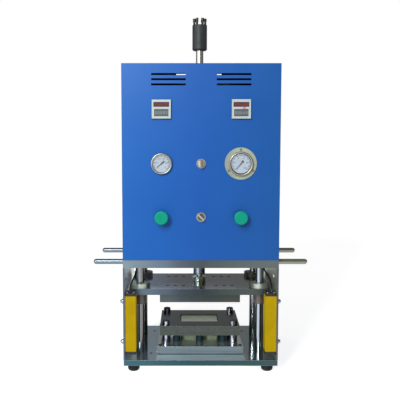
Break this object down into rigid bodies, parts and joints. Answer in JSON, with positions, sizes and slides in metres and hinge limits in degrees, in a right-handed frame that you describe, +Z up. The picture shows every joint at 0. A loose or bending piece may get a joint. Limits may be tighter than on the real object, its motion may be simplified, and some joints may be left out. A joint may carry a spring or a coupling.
{
  "type": "pouch cell forming press",
  "caption": "Bench-top pneumatic press with a blue cabinet over four guide posts, a sliding platen with an upper die, a sprung lower die, light curtains and a control panel.",
  "frame": {"origin": "on the bench, under the centre of the outline (carry bars and front buttons included)", "axes": "+X to the right seen from the control panel, +Y to the back, +Z up"},
  "size_m": [0.56, 0.37, 0.933],
  "materials": {
    "blue_paint": "smooth semi-gloss enamel",
    "ground_steel": "surface ground, hard chromed",
    "frame_steel": "ground and sealed",
    "die_steel": "ground tool steel",
    "chrome": "polished",
    "fastener_steel": "turned, nickel plated",
    "black_rubber": "moulded",
    "spring_rubber": "moulded elastomer",
    "cast_aluminium": "satin",
    "yellow_paint": "powder coated extrusion",
    "black_plastic": "moulded",
    "grey_plastic": "moulded",
    "green_plastic": "moulded",
    "gauge_steel": "polished rim",
    "gauge_nickel": "nickel plated",
    "black_steel": "blackened",
    "cable_black": "extruded jacket"
  },
  "bodies": {
    "frame": {"base_plate": "frame_steel", "rubber_feet": "black_rubber", "side_plate_left": "blue_paint", "side_plate_right": "blue_paint", "side_cap_nuts": "fastener_steel", "guide_posts": "chrome", "top_plate": "frame_steel", "carry_bars": "fastener_steel", "die_base": "ground_steel", "guide_pins": "chrome", "die_springs": "spring_rubber", "forming_punch": "die_steel", "cylinder_heads": "cast_aluminium", "cylinder_barrel": "cast_aluminium", "cylinder_tie_rods": "fastener_steel", "front_panel": "blue_paint", "cabinet_side_left": "blue_paint", "cabinet_side_right": "blue_paint", "cabinet_rear": "blue_paint", "cabinet_roof": "blue_paint", "timer": "grey_plastic", "counter": "grey_plastic", "small_gauge": "gauge_steel", "large_gauge": "gauge_nickel", "switch_collars": "gauge_steel", "button_collars": "black_plastic", "light_curtain_left": "yellow_paint", "light_curtain_right": "yellow_paint", "curtain_caps": "black_plastic", "curtain_lead_left": "cable_black", "curtain_lead_right": "cable_black", "lead_glands": "black_plastic"},
    "ram": {"platen": "ground_steel", "platen_bushings": "fastener_steel", "rod_coupling": "chrome", "ram_rod": "chrome", "stroke_rod": "chrome", "stroke_sleeve": "black_steel", "sleeve_screws": "black_steel", "upper_die": "die_steel"},
    "holder": {"pressure_plate": "die_steel"},
    "mode_selector": {"mode_knob": "gauge_steel"},
    "power_selector": {"power_knob": "gauge_steel"},
    "left_start": {"start_button_left": "green_plastic"},
    "right_start": {"start_button_right": "green_plastic"}
  },
  "joints": [
    {"name": "ram_slide", "type": "slide", "parent": "frame", "child": "ram", "axis": [0, 0, -1], "range_m": [0, 0.06]},
    {"name": "holder_slide", "type": "slide", "parent": "frame", "child": "holder", "axis": [0, 0, -1], "range_m": [0, 0.01], "stiffness_N_per_m": 20000, "springref_m": -0.006, "deforming": ["die_springs"]},
    {"name": "mode_turn", "type": "hinge", "parent": "frame", "child": "mode_selector", "pos_m": [0, -0.155, 0.543], "axis": [0, 1, 0], "range_deg": [-45, 45]},
    {"name": "power_turn", "type": "hinge", "parent": "frame", "child": "power_selector", "pos_m": [0, -0.155, 0.4075], "axis": [0, 1, 0], "range_deg": [0, 90]},
    {"name": "left_start_press", "type": "slide", "parent": "frame", "child": "left_start", "axis": [0, 1, 0], "range_m": [0, 0.005], "stiffness_N_per_m": 800, "springref_m": -0.002},
    {"name": "right_start_press", "type": "slide", "parent": "frame", "child": "right_start", "axis": [0, 1, 0], "range_m": [0, 0.005], "stiffness_N_per_m": 800, "springref_m": -0.002}
  ]
}
